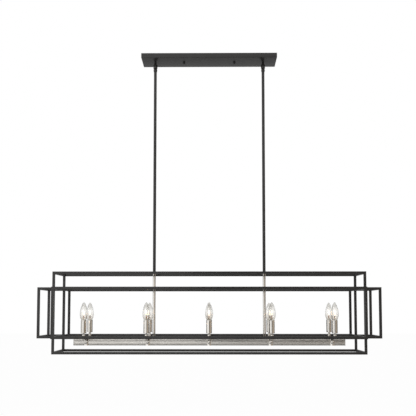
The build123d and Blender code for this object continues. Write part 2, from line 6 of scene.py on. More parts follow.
import bmesh
import bpy
from mathutils import Matrix, Vector
from mathutils.geometry import interpolate_bezier
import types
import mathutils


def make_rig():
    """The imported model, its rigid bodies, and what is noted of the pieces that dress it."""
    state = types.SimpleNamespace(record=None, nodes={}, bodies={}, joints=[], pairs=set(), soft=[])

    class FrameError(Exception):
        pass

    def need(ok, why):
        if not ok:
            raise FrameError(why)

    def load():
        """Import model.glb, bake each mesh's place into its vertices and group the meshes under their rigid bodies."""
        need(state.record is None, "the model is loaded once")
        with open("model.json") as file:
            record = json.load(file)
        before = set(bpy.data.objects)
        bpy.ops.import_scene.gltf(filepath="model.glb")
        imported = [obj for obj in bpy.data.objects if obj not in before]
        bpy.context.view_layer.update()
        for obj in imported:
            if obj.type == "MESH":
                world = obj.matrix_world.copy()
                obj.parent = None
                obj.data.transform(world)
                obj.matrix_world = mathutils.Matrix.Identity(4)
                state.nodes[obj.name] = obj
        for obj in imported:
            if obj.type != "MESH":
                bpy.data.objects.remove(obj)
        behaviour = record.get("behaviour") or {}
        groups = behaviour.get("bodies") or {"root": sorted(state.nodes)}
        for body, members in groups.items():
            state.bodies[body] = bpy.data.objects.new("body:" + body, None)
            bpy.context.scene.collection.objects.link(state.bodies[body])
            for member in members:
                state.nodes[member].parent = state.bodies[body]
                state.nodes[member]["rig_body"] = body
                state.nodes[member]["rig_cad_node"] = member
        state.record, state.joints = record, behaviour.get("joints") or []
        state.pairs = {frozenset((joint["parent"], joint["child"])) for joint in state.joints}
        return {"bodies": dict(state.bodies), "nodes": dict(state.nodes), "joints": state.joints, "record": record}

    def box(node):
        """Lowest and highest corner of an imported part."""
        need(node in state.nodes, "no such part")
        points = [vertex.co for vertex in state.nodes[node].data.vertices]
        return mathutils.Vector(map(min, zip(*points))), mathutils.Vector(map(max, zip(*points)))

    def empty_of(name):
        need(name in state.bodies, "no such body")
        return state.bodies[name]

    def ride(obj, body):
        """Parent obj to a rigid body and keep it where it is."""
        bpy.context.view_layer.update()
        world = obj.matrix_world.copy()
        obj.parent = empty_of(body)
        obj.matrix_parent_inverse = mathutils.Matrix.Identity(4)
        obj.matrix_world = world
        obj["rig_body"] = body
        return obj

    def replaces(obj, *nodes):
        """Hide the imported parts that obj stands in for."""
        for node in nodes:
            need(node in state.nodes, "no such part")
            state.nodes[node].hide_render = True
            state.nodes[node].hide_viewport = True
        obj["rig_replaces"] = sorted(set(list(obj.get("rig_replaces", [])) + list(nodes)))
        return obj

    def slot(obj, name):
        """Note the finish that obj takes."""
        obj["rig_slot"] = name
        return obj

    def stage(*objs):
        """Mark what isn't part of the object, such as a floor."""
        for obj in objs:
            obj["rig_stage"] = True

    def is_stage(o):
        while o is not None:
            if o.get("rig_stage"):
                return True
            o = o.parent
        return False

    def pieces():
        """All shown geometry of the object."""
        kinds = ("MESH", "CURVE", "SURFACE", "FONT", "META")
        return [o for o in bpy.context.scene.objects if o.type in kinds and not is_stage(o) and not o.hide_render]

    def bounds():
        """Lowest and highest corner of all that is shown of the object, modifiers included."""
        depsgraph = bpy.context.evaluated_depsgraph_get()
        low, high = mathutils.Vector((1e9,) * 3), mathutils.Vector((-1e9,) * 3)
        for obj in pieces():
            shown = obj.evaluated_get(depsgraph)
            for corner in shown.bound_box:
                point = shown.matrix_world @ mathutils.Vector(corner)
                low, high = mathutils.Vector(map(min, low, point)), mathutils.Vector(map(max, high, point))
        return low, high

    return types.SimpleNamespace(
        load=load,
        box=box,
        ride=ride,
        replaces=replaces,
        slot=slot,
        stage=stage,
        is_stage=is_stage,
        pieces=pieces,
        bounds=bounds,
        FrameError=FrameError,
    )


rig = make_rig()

bl_info = {
    "name": "Linear island pendant",
    "version": (1, 0, 0),
    "blender": (4, 5, 0),
    "location": "3D View > Sidebar > Pendant",
    "description": "Finishes and made detail for a long open-frame pendant with candle lights",
    "category": "Object",
}

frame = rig.load()
CAD_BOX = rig.bounds()

MM = 0.001
FULL_TURN = 2 * math.pi
SIZE_FILE = "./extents.json"


# ------------------------------------------------------------ places read from the frame


def span(node):
    """Lowest and highest corner of a CAD node, in millimetres."""
    low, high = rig.box(node)
    return low / MM, high / MM


def centre(node):
    """Middle of a CAD node's box, in millimetres."""
    low, high = span(node)
    return (low + high) / 2


CANOPY_FLOOR = span("canopy_shell")[0].z
ROD_X = centre("rod_right_section_1").x
ROD_RADIUS = span("rod_right_section_1")[1].y
STUD_X = centre("canopy_nut_right").x
STATIONS = [centre(f"bulb_{number}_front").x for number in range(1, 6)]
ROWS = {row: centre(f"bulb_3_{row}").y for row in ("front", "back")}
SLEEVE_LOW, SLEEVE_HIGH = span("candle_sleeves")
SLEEVE_RADIUS = SLEEVE_HIGH.y - ROWS["back"]
SLEEVE_BOTTOM = SLEEVE_LOW.z
SLEEVE_TOP = SLEEVE_HIGH.z
BAR_LOW, BAR_HIGH = span("light_bar")

SIDES = {"left": -1, "right": 1}
RODS = [(-ROD_X, 0, 0), (ROD_X, 0, 0)]
STUDS = [(-STUD_X, 0, 0), (STUD_X, 0, 0)]
CANDLES = [(x, y, 0) for x in STATIONS for y in ROWS.values()]


# ------------------------------------------------------------ sizes no box gives, in millimetres

ROD_BORE = 4.5
TUBE_WIDTH = 11.0
STRAP_HALF_WIDTH = 12.5

# Heights on a bulb, above the top of its sleeve
BASE_FLOOR = -18
GLASS_FOOT = -17
NECK = -12
WIDEST = 26
TIP = 80
LEAD_FOOT = 17.5
STEM_TOP = 19
COIL_FOOT = 23.2
COIL_LENGTH = 18.8


# ------------------------------------------------------------ settings


class PendantSizes(bpy.types.PropertyGroup):
    """Sizes of the made detail that a user may change."""

    tube_edge: bpy.props.FloatProperty(
        name="Tube edge radius",
        description="Rounding along the edges of the square tubes",
        default=0.9 * MM,
        unit="LENGTH",
    )
    canopy_edge: bpy.props.FloatProperty(
        name="Canopy edge radius",
        description="Rounding along the folds of the ceiling canopy",
        default=1.4 * MM,
        unit="LENGTH",
    )
    plate_edge: bpy.props.FloatProperty(
        name="Plate edge radius",
        description="Rounding along the edges of the light bar and the straps",
        default=0.6 * MM,
        unit="LENGTH",
    )
    glass_wall: bpy.props.FloatProperty(
        name="Glass wall",
        description="Thickness of a bulb's glass envelope",
        default=0.8 * MM,
        unit="LENGTH",
    )
    coil_turns: bpy.props.IntProperty(
        name="Filament turns",
        description="Turns of the coiled wire in each leg of a filament",
        default=22,
        min=4,
        max=60,
    )
    round_steps: bpy.props.IntProperty(
        name="Round steps",
        description="Sides of a turned piece",
        default=48,
        min=12,
        max=96,
    )


class PendantColours(bpy.types.PropertyGroup):
    """Colours of the finishes that a user may change."""

    black: bpy.props.FloatVectorProperty(
        name="Satin black",
        description="Powder paint on the canopy, the rods and the box frames",
        subtype="COLOR",
        default=(0.0220, 0.0210, 0.0200),
    )
    nickel: bpy.props.FloatVectorProperty(
        name="Nickel",
        description="Plating on the light bar, its two rods, the arms, the feet and the sleeves",
        subtype="COLOR",
        default=(0.82, 0.79, 0.74),
    )
    zinc: bpy.props.FloatVectorProperty(
        name="Zinc",
        description="Plating on the steel fittings, most of them hidden",
        subtype="COLOR",
        default=(0.58, 0.59, 0.60),
    )
    glow: bpy.props.FloatVectorProperty(
        name="Filament glow",
        description="Colour of the lit filament",
        subtype="COLOR",
        default=(1.0, 0.62, 0.28),
    )
    backdrop: bpy.props.FloatVectorProperty(
        name="Backdrop",
        description="Colour of the floor and of what lies behind the pendant",
        subtype="COLOR",
        default=(1.0, 1.0, 1.0),
    )


def sizes():
    """The sizes as they are set."""
    return bpy.context.scene.pendant_sizes


def colour_of(name):
    """One of the colours as it is set."""
    return tuple(getattr(bpy.context.scene.pendant_colours, name))


# ------------------------------------------------------------ shapes, in millimetres

ROUNDED_ABOVE = math.radians(30)
SMOOTH_BELOW = math.radians(40)


def tidy(shape):
    """Welds doubled points and turns every face outwards."""
    bmesh.ops.remove_doubles(shape, verts=shape.verts, dist=0.001)
    bmesh.ops.recalc_face_normals(shape, faces=shape.faces)
    return shape


def moved(shape, offset):
    """Moves a shape by an offset."""
    bmesh.ops.translate(shape, verts=shape.verts, vec=offset)
    return shape


def along_y(shape):
    """Turns a shape made about Z so that its axis lies along Y."""
    quarter = Matrix.Rotation(FULL_TURN / 4, 3, "X")
    bmesh.ops.rotate(shape, verts=shape.verts, cent=(0, 0, 0), matrix=quarter)
    return shape


def turned(profile, closed=False, steps=None):
    """Round shape about Z from (radius, height) corners. A closed profile makes a ring."""
    shape = bmesh.new()
    corners = [shape.verts.new((radius, 0, height)) for radius, height in profile]
    followers = corners[1:] + corners[:1] if closed else corners[1:]
    sides = [shape.edges.new(pair) for pair in zip(corners, followers)]
    bmesh.ops.spin(
        shape,
        geom=corners + sides,
        cent=(0, 0, 0),
        axis=(0, 0, 1),
        dvec=(0, 0, 0),
        angle=FULL_TURN,
        steps=steps or sizes().round_steps,
        use_merge=True,
    )
    return tidy(shape)


def curve(*points, steps=10):
    """Corners from the first point to the last, bent towards the two points between them."""
    return interpolate_bezier(*[Vector(point) for point in points], steps)


def cylinder(radius, low, high, bore=0):
    """Round bar about Z between two heights, or a tube where it has a bore."""
    profile = [(bore, low), (radius, low), (radius, high), (bore, high)]
    return turned(profile, closed=bore > 0)


def threaded(low, high, radius, pitch, depth, bore=0, steps=32):
    """Threaded rod about Z, or a nipple where it has a bore. Its crests are a little flat."""
    root = radius - depth
    turns = int((high - low) / pitch)
    plain_end = (high - low - turns * pitch) / 2
    profile = [(bore, low), (root, low)]
    for turn in range(turns):
        start = low + plain_end + turn * pitch
        profile += [(root, start + pitch * 0.1), (radius, start + pitch * 0.45)]
        profile += [(radius, start + pitch * 0.6), (root, start + pitch * 0.95)]
    profile += [(root, high), (bore, high)]
    return turned(profile, closed=bore > 0, steps=steps)


def block(low, high):
    """Rectangular block between two corners."""
    low, high = Vector(low), Vector(high)
    shape = bmesh.new()
    bmesh.ops.create_cube(shape, size=1)
    bmesh.ops.scale(shape, verts=shape.verts, vec=high - low)
    return moved(shape, (low + high) / 2)


def runs_along(axis):
    """Picks the edges that run along an axis, for soften()."""
    return lambda edge: abs(edge.verts[0].co[axis] - edge.verts[1].co[axis]) > 1


def lies_at(height):
    """Picks the edges that lie at a height, for soften()."""
    return lambda edge: all(abs(vert.co.z - height) < 0.1 for vert in edge.verts)


def soften(shape, width, segments=2, keep=None):
    """Rounds every sharp edge, or those of them that keep() picks."""
    edges = [
        edge
        for edge in shape.edges
        if len(edge.link_faces) == 2
        and edge.calc_face_angle(0) > ROUNDED_ABOVE
        and (keep is None or keep(edge))
    ]
    bmesh.ops.bevel(
        shape,
        geom=edges,
        offset=width,
        offset_type="OFFSET",
        segments=segments,
        profile=0.5,
        affect="EDGES",
        material=-1,
        clamp_overlap=True,
    )
    return shape


def copies(shape, places):
    """One shape repeated at each place, given as a point or a matrix."""
    whole = bmesh.new()
    mesh = bpy.data.meshes.new("copy")
    for place in places:
        shape.to_mesh(mesh)
        mesh.transform(place if isinstance(place, Matrix) else Matrix.Translation(place))
        whole.from_mesh(mesh)
    bpy.data.meshes.remove(mesh)
    return whole


def together(shapes):
    """Several shapes as one."""
    whole = bmesh.new()
    mesh = bpy.data.meshes.new("part")
    for shape in shapes:
        shape.to_mesh(mesh)
        whole.from_mesh(mesh)
    bpy.data.meshes.remove(mesh)
    return whole


def cut(shape, tool, operation="DIFFERENCE"):
    """The shape with another taken from it, or only what the two share."""
    pair = []
    for source in (shape, tool):
        mesh = bpy.data.meshes.new("cut")
        source.to_mesh(mesh)
        obj = bpy.data.objects.new("cut", mesh)
        bpy.context.scene.collection.objects.link(obj)
        pair.append(obj)
    modifier = pair[0].modifiers.new("cut", "BOOLEAN")
    modifier.object = pair[1]
    modifier.operation = operation
    modifier.solver = "EXACT"
    bpy.context.view_layer.update()
    depsgraph = bpy.context.evaluated_depsgraph_get()
    made = bpy.data.meshes.new_from_object(pair[0].evaluated_get(depsgraph))
    result = bmesh.new()
    result.from_mesh(made)
    bpy.data.meshes.remove(made)
    for obj in pair:
        mesh = obj.data
        bpy.data.objects.remove(obj)
        bpy.data.meshes.remove(mesh)
    return result


def piece(name, shape, body, slot, *nodes, finish=None):
    """Makes a piece that rides on a body, takes its slot's finish and stands for CAD nodes."""
    mesh = bpy.data.meshes.new(name)
    shape.to_mesh(mesh)
    shape.free()
    mesh.transform(Matrix.Scale(MM, 4))
    mesh.shade_smooth()
    mesh.set_sharp_from_angle(angle=SMOOTH_BELOW)
    mesh.materials.append(finish_of(finish or slot))
    obj = bpy.data.objects.new(name, mesh)
    bpy.context.scene.collection.objects.link(obj)
    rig.ride(obj, body)
    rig.slot(obj, slot)
    if nodes:
        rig.replaces(obj, *nodes)
    return obj


def refinish(finish, *nodes):
    """Gives CAD nodes that stay as they are a better finish."""
    for node in nodes:
        materials = frame["nodes"][node].data.materials
        materials.clear()
        materials.append(finish_of(finish))


# ------------------------------------------------------------ finishes

# The middle of a noise's range, where most of its values lie
NOISE_LOW, NOISE_HIGH = 0.3, 0.7


def shade(colour, factor):
    """A colour made lighter or darker."""
    return tuple(min(1.0, part * factor) for part in colour)


class Finish:
    """A node material on Object coordinates, with its shader at hand."""

    def __init__(self, name):
        self.material = bpy.data.materials.new(f"{name}_finish")
        self.material.use_nodes = True
        self.nodes = self.material.node_tree.nodes
        self.links = self.material.node_tree.links
        self.shader = self.nodes["Principled BSDF"]
        self.coords = self.nodes.new("ShaderNodeTexCoord").outputs["Object"]

    def set(self, **values):
        """Constant values on the shader's own sockets, with _ for a space."""
        for socket, value in values.items():
            self.shader.inputs[socket.replace("_", " ")].default_value = value

    def feed(self, output, socket):
        """Links a node's output to one of the shader's sockets."""
        self.links.new(output, self.shader.inputs[socket])

    def noise(self, scale, detail, stretch=(1, 1, 1)):
        """Noise on the piece, with cells drawn out along the axes whose stretch is small."""
        mapping = self.nodes.new("ShaderNodeMapping")
        mapping.inputs["Scale"].default_value = stretch
        self.links.new(self.coords, mapping.inputs["Vector"])
        noise = self.nodes.new("ShaderNodeTexNoise")
        noise.inputs["Scale"].default_value = scale
        noise.inputs["Detail"].default_value = detail
        self.links.new(mapping.outputs["Vector"], noise.inputs["Vector"])
        return noise.outputs["Fac"]

    def height(self, low, high):
        """A number that goes from 0 at one height, in millimetres, to 1 at another."""
        split = self.nodes.new("ShaderNodeSeparateXYZ")
        self.links.new(self.coords, split.inputs[0])
        reach = self.nodes.new("ShaderNodeMapRange")
        reach.inputs["From Min"].default_value = low * MM
        reach.inputs["From Max"].default_value = high * MM
        self.links.new(split.outputs["Z"], reach.inputs["Value"])
        return reach.outputs["Result"]

    def shades(self, factor, stops):
        """Colours along a factor, as (position, colour) stops."""
        ramp = self.nodes.new("ShaderNodeValToRGB")
        elements = ramp.color_ramp.elements
        for position, colour in stops[2:]:
            elements.new(position)
        for element, (position, colour) in zip(elements, stops):
            element.position = position
            element.color = (*colour, 1)
        self.links.new(factor, ramp.inputs["Fac"])
        return ramp.outputs["Color"]

    def clouded(self, factor, colour, dark, light):
        """Base colour that drifts from a darker to a lighter shade as the noise rises."""
        stops = [(NOISE_LOW, shade(colour, dark)), (NOISE_HIGH, shade(colour, light))]
        self.feed(self.shades(factor, stops), "Base Color")

    def roughened(self, factor, low, high):
        """Roughness that goes from low to high as the noise rises."""
        reach = self.nodes.new("ShaderNodeMapRange")
        reach.inputs["From Min"].default_value = NOISE_LOW
        reach.inputs["From Max"].default_value = NOISE_HIGH
        reach.inputs["To Min"].default_value = low
        reach.inputs["To Max"].default_value = high
        self.links.new(factor, reach.inputs["Value"])
        self.feed(reach.outputs["Result"], "Roughness")

    def relief(self, factor, strength, depth):
        """Surface relief of a real depth, in metres."""
        bump = self.nodes.new("ShaderNodeBump")
        bump.inputs["Strength"].default_value = strength
        bump.inputs["Distance"].default_value = depth
        self.links.new(factor, bump.inputs["Height"])
        self.feed(bump.outputs["Normal"], "Normal")


def make_satin_black():
    """Powder paint: near black, half gloss, with the faint grain of baked powder."""
    paint = Finish("satin_black")
    paint.clouded(paint.noise(scale=30, detail=3), colour_of("black"), dark=0.88, light=1.12)
    paint.roughened(paint.noise(scale=260, detail=2), low=0.27, high=0.34)
    paint.relief(paint.noise(scale=1800, detail=2), strength=0.06, depth=0.00003)
    paint.set(Specular_IOR_Level=0.42)
    return paint.material


def make_nickel(name, stretch, smooth, dull):
    """Warm nickel plate with faint lines drawn out along the axes of small stretch."""
    plate = Finish(name)
    plate.clouded(plate.noise(scale=18, detail=3), colour_of("nickel"), dark=0.95, light=1.03)
    plate.roughened(plate.noise(scale=420, detail=3, stretch=stretch), low=smooth, high=dull)
    plate.relief(plate.noise(scale=900, detail=2, stretch=stretch), strength=0.04, depth=0.00001)
    plate.set(Metallic=1.0)
    return plate.material


def make_polished_nickel():
    """Polished nickel, with its lines up the rods and the sleeves."""
    return make_nickel("polished_nickel", stretch=(1, 1, 0.08), smooth=0.05, dull=0.10)


def make_brushed_nickel():
    """Brushed nickel, with its lines along the light bar."""
    return make_nickel("brushed_nickel", stretch=(0.06, 1, 1), smooth=0.26, dull=0.33)


def make_zinc_steel():
    """Zinc-plated steel: grey, with broad crystals and a dull sheen."""
    colour = colour_of("zinc")
    plate = Finish("zinc_steel")
    crystals = plate.nodes.new("ShaderNodeTexVoronoi")
    crystals.inputs["Scale"].default_value = 260
    plate.links.new(plate.coords, crystals.inputs["Vector"])
    stops = [(0.0, shade(colour, 1.15)), (0.9, shade(colour, 0.8))]
    plate.feed(plate.shades(crystals.outputs["Distance"], stops), "Base Color")
    plate.roughened(plate.noise(scale=300, detail=3), low=0.3, high=0.46)
    plate.relief(plate.noise(scale=1100, detail=2), strength=0.15, depth=0.00003)
    plate.set(Metallic=1.0)
    return plate.material


def make_plain_finish(name, colour, rough, metallic=0.0, depth=0.00004):
    """A finish of one colour with a slight cloud, a slight grain and varied gloss."""
    coat = Finish(name)
    coat.clouded(coat.noise(scale=60, detail=3), colour, dark=0.88, light=1.1)
    coat.roughened(coat.noise(scale=350, detail=2), low=rough * 0.85, high=rough * 1.2)
    coat.relief(coat.noise(scale=600, detail=2), strength=0.2, depth=depth)
    coat.set(Metallic=metallic)
    return coat.material


def make_green_enamel():
    """Green paint of the ground screw."""
    return make_plain_finish("green_enamel", (0.04, 0.30, 0.10), rough=0.3)


def make_dark_phenolic():
    """Dark moulded resin of the lamp sockets."""
    return make_plain_finish("dark_phenolic", (0.035, 0.027, 0.022), rough=0.5)


def make_brass():
    """Plain brass of the screw bases and the socket contacts."""
    colour, depth = (0.80, 0.60, 0.32), 0.00002
    return make_plain_finish("brass", colour, rough=0.26, metallic=1.0, depth=depth)


def make_clear_glass():
    """Clear bulb glass: thicker and greyer at its tip and neck, and where it is seen edge on."""
    glass = Finish("clear_glass")
    # Painted shade: the base colour darkens towards the rim, where the glass is seen edge on, to give the bulb its
    # dark outline; only a little of this comes from the longer path through the glass
    facing = glass.nodes.new("ShaderNodeLayerWeight")
    facing.inputs["Blend"].default_value = 0.5
    painted_rim_shade_stops = [(0.0, (1.0, 0.995, 0.98)), (0.35, (0.97, 0.965, 0.95))]
    painted_rim_shade_stops += [(0.7, (0.76, 0.76, 0.75)), (1.0, (0.3, 0.3, 0.3))]
    edge = glass.shades(facing.outputs["Facing"], painted_rim_shade_stops)
    height_stops = [(0.0, (0.74, 0.72, 0.69)), (0.3, (0.93, 0.92, 0.91))]
    height_stops += [(0.5, (1.0, 1.0, 1.0)), (0.8, (0.80, 0.795, 0.785))]
    wall = glass.shades(glass.height(SLEEVE_TOP, SLEEVE_TOP + TIP), height_stops)
    both = glass.nodes.new("ShaderNodeMix")
    both.data_type = "RGBA"
    both.blend_type = "MULTIPLY"
    both.inputs["Factor"].default_value = 1.0
    glass.links.new(edge, both.inputs["A"])
    glass.links.new(wall, both.inputs["B"])
    glass.feed(both.outputs["Result"], "Base Color")
    glass.relief(glass.noise(scale=25, detail=1), strength=0.05, depth=0.0002)
    glass.set(Roughness=0.02, IOR=1.47, Transmission_Weight=1.0)
    return glass.material


def make_stem_glass():
    """The pinched glass stem inside a bulb: clear at its foot, brown at the hot pinch."""
    glass = Finish("stem_glass")
    height = glass.height(SLEEVE_TOP, SLEEVE_TOP + STEM_TOP)
    stops = [(0.2, (0.93, 0.90, 0.85)), (0.5, (0.85, 0.62, 0.42)), (0.75, (0.50, 0.20, 0.09))]
    glass.feed(glass.shades(height, stops), "Base Color")
    glass.relief(glass.noise(scale=160, detail=2), strength=0.2, depth=0.0002)
    glass.set(Roughness=0.15, IOR=1.5, Transmission_Weight=0.6)
    return glass.material


def make_hot_filament():
    """Tungsten coil at full heat."""
    glow = colour_of("glow")
    wire = Finish("hot_filament")
    stops = [(NOISE_LOW, shade(glow, 0.9)), (NOISE_HIGH, glow)]
    wire.feed(wire.shades(wire.noise(scale=900, detail=1), stops), "Emission Color")
    wire.set(Emission_Strength=8.0, Roughness=0.5, Metallic=1.0)
    return wire.material


MAKERS = {
    "satin_black": make_satin_black,
    "polished_nickel": make_polished_nickel,
    "brushed_nickel": make_brushed_nickel,
    "zinc_steel": make_zinc_steel,
    "green_enamel": make_green_enamel,
    "dark_phenolic": make_dark_phenolic,
    "brass": make_brass,
    "clear_glass": make_clear_glass,
    "stem_glass": make_stem_glass,
    "hot_filament": make_hot_filament,
}


def finish_of(name):
    """The finish of that name, made the first time it is asked for."""
    return bpy.data.materials.get(f"{name}_finish") or MAKERS[name]()


# ------------------------------------------------------------ the pieces


def make_canopy():
    """Folded pan, open at the top, with the holes for the swivels and the studs."""
    wall, nipple_hole, stud_hole = 1.2, 4.1, 2.3
    pan = block(*span("canopy_shell"))
    lid = [face for face in pan.faces if face.normal.z > 0.5]
    bmesh.ops.delete(pan, geom=lid, context="FACES_ONLY")
    soften(pan, sizes().canopy_edge / MM, segments=4)
    bmesh.ops.recalc_face_normals(pan, faces=pan.faces)
    bmesh.ops.solidify(pan, geom=pan.faces[:], thickness=wall)
    for places, radius in ((RODS, nipple_hole), (STUDS, stud_hole)):
        for x, y, _ in places:
            pan = cut(pan, moved(cylinder(radius, -5, 5), (x, y, CANOPY_FLOOR)))
    piece("canopy_pan", pan, "ceiling_canopy", "satin_black", "canopy_shell")


def nut_shape(low, high, across_flats, bore):
    """Hexagon nut about Z, with the corners turned off at both ends."""
    half = across_flats / 2
    corner = half / math.cos(math.pi / 6)
    slope = (corner - half) * 0.6
    nut = bmesh.new()
    bmesh.ops.create_cone(
        nut,
        cap_ends=True,
        cap_tris=False,
        segments=6,
        radius1=corner,
        radius2=corner,
        depth=high - low,
    )
    moved(nut, (0, 0, (low + high) / 2))
    lower_end = [(0, low), (half, low), (corner, low + slope)]
    upper_end = [(corner, high - slope), (half, high), (0, high)]
    nut = cut(nut, turned(lower_end + upper_end), "INTERSECT")
    return cut(nut, cylinder(bore / 2, low - 1, high + 1))


def make_canopy_fittings():
    """Studs, nuts, nipples and washers inside the canopy, and the two cap nuts below it."""
    refinish("zinc_steel", "mounting_crossbar")
    refinish("green_enamel", "ground_screw")
    low, high = span("canopy_studs")
    stud = threaded(low.z, high.z, radius=2.0, pitch=0.8, depth=0.22, steps=24)
    piece("threaded_studs", copies(stud, STUDS), "ceiling_canopy", "zinc_steel", "canopy_studs")
    low, high = span("stud_lock_nuts")
    nut = nut_shape(low.z, high.z, across_flats=8.7, bore=4.0)
    piece("stud_hex_nuts", copies(nut, STUDS), "ceiling_canopy", "zinc_steel", "stud_lock_nuts")
    low, high = span("swivel_nipples")
    nipple = threaded(low.z, high.z, radius=4.0, pitch=0.95, depth=0.3, bore=2.5)
    piece("hollow_nipples", copies(nipple, RODS), "ceiling_canopy", "zinc_steel", "swivel_nipples")
    low, high = span("swivel_lock_nuts")
    nut = nut_shape(low.z, high.z, across_flats=14.0, bore=8.0)
    piece("swivel_hex_nuts", copies(nut, RODS), "ceiling_canopy", "zinc_steel", "swivel_lock_nuts")
    low, high = span("swivel_washers")
    washer = soften(cylinder(11, low.z, high.z, bore=4.05), width=0.25)
    piece("nipple_washers", copies(washer, RODS), "ceiling_canopy", "zinc_steel", "swivel_washers")
    for side, sign in SIDES.items():
        body, node = f"cap_nut_{side}", f"canopy_nut_{side}"
        nut = moved(cap_nut(*span(node)), (sign * STUD_X, 0, 0))
        piece(body, nut, body, "satin_black", node)


def cap_nut(low, high):
    """Cap nut with a blind bore from above and a domed end below."""
    top, rim, bore_end = high.z, high.z - 4.0, high.z - 7.05
    bore_radius, radius, dome_pull = 2.06, 5.5, 3.03
    bore = [(0, bore_end), (bore_radius, bore_end), (bore_radius, top)]
    chamfer = [(5.2, top), (radius, top - 0.3)]
    dome = curve((radius, rim), (radius, rim - dome_pull), (dome_pull, low.z), (0, low.z))
    return turned(bore + chamfer + dome)


def make_swivels():
    """Hang-straight swivels: a necked barrel, the ball in it and the ferrule on the rod."""
    ball_radius, stem_radius = 7.5, 4.0
    low, high = span("swivel_housings")
    top, foot = high.z, low.z
    shoulder = top - 11.4
    ball = shoulder - 10.6
    neck = [(0, top), (5.5, top), (5.5, shoulder + 1.4), (6.0, shoulder + 0.3)]
    barrel = [(8.1, shoulder - 0.75), (9.1, shoulder - 1.7), (9.6, shoulder - 3.2)]
    barrel += [(9.6, foot + 3), (9.3, foot + 1.4), (8.9, foot), (8.1, foot)]
    seat = [(5.99, foot + 4.4), (7.1, ball - 2.4), (7.55, ball), (7.1, ball + 2.5)]
    wire_way = [(5.3, ball + 5.4), (2.5, ball + 7.1), (2.5, ball + 10), (0, ball + 10)]
    housing = copies(turned(neck + barrel + seat + wire_way), RODS)
    piece("swivel_barrels", housing, "ceiling_canopy", "satin_black", "swivel_housings")

    foot = span("swivel_balls")[0].z
    angles = [math.radians(degrees) for degrees in range(0, 148, 12)]
    globe = [(ball_radius * math.sin(a), ball + ball_radius * math.cos(a)) for a in angles]
    stem = [(stem_radius, ball - 6.4), (stem_radius, foot), (0, foot)]
    balls = copies(turned(globe + stem), RODS)
    piece("swivel_ball_stems", balls, "pendant", "satin_black", "swivel_balls")

    low, high = span("rod_ferrules")
    top, foot = high.z, low.z
    dome = [(0, top), (4.6, top), (5.2, top - 0.2), (7.4, top - 1.1), (8.5, top - 2.3)]
    skirt = [(8.8, top - 3.6), (8.8, top - 6.4), (8.6, top - 7.4)]
    skirt += [(7.8, foot + 0.3), (7.6, foot), (ROD_RADIUS, foot), (0, foot)]
    ferrules = copies(turned(dome + skirt), RODS)
    piece("domed_ferrules", ferrules, "pendant", "satin_black", "rod_ferrules")


def make_rods():
    """Rod sections with lightly chamfered ends, so that each joint shows as a hairline."""
    radius, chamfer = ROD_RADIUS, 0.18
    for side, sign in SIDES.items():
        for section in (1, 2, 3):
            node = f"rod_{side}_section_{section}"
            low, high = span(node)
            foot = [(ROD_BORE, low.z), (radius - chamfer, low.z), (radius, low.z + chamfer)]
            head = [(radius, high.z - chamfer), (radius - chamfer, high.z), (ROD_BORE, high.z)]
            rod = moved(turned(foot + head, closed=True), (sign * ROD_X, 0, 0))
            piece(f"rod_tube_{side}_{section}", rod, "pendant", "satin_black", node)
    low, high = span("rod_washers")
    washer = soften(cylinder(high.y, low.z, high.z, bore=ROD_BORE), width=0.3)
    piece("rod_foot_washers", copies(washer, RODS), "pendant", "satin_black", "rod_washers")


def make_ring(node):
    """Rectangular ring of mitred square tube, rounded along its edges."""
    low, high = span(node)
    tube = high.y - low.y
    ring = bmesh.new()
    bmesh.ops.create_grid(ring, x_segments=1, y_segments=1, size=0.5)
    bmesh.ops.scale(ring, verts=ring.verts, vec=(high.x - low.x, high.z - low.z, 1))
    opening = ring.faces[:]
    bmesh.ops.inset_region(
        ring, faces=opening, thickness=tube, use_even_offset=True, use_boundary=True
    )
    bmesh.ops.delete(ring, geom=opening, context="FACES")
    moved(along_y(ring), (0, low.y, (low.z + high.z) / 2))
    grown = bmesh.ops.extrude_face_region(ring, geom=ring.faces[:])
    back = [item for item in grown["geom"] if isinstance(item, bmesh.types.BMVert)]
    bmesh.ops.translate(ring, verts=back, vec=(0, tube, 0))
    bmesh.ops.recalc_face_normals(ring, faces=ring.faces)
    return soften(ring, sizes().tube_edge / MM, segments=3)


def cross_tubes(node, reaches):
    """Tubes along Y at a frame's four corners, rounded along their length."""
    low, high = span(node)
    tubes = []
    for x in (low.x, high.x - TUBE_WIDTH):
        for z in (low.z, high.z - TUBE_WIDTH):
            for start, end in reaches:
                tube = block((x, start, z), (x + TUBE_WIDTH, end, z + TUBE_WIDTH))
                soften(tube, sizes().tube_edge / MM, segments=3, keep=runs_along(1))
                tubes.append(tube)
    return together(tubes)


def make_frames():
    """Three box frames, each of two rings and the tubes between them, and the rods' straps."""
    for name in ("tall", "long", "deep"):
        for side in ("front", "back"):
            node = f"{name}_frame_{side}"
            piece(f"{name}_{side}_ring", make_ring(node), "pendant", "satin_black", node)
        node = f"{name}_frame_crossbars"
        end = span(f"{name}_frame_back")[0].y
        reaches = [(-end, end)]
        if name == "deep":
            # The deep frame's tubes leave room for the long frame's two rings
            near, far = (corner.y for corner in span("long_frame_back"))
            reaches = [(-end, -far), (-near, near), (far, end)]
        tubes = cross_tubes(node, reaches)
        piece(f"{name}_cross_tubes", tubes, "pendant", "satin_black", node)
    straps = []
    low, high = span("rod_straps")
    for x in (-ROD_X, ROD_X):
        left, right = x - STRAP_HALF_WIDTH, x + STRAP_HALF_WIDTH
        strap = block((left, low.y, low.z), (right, high.y, high.z))
        straps.append(soften(strap, sizes().plate_edge / MM))
    piece("strap_plates", together(straps), "pendant", "satin_black", "rod_straps")


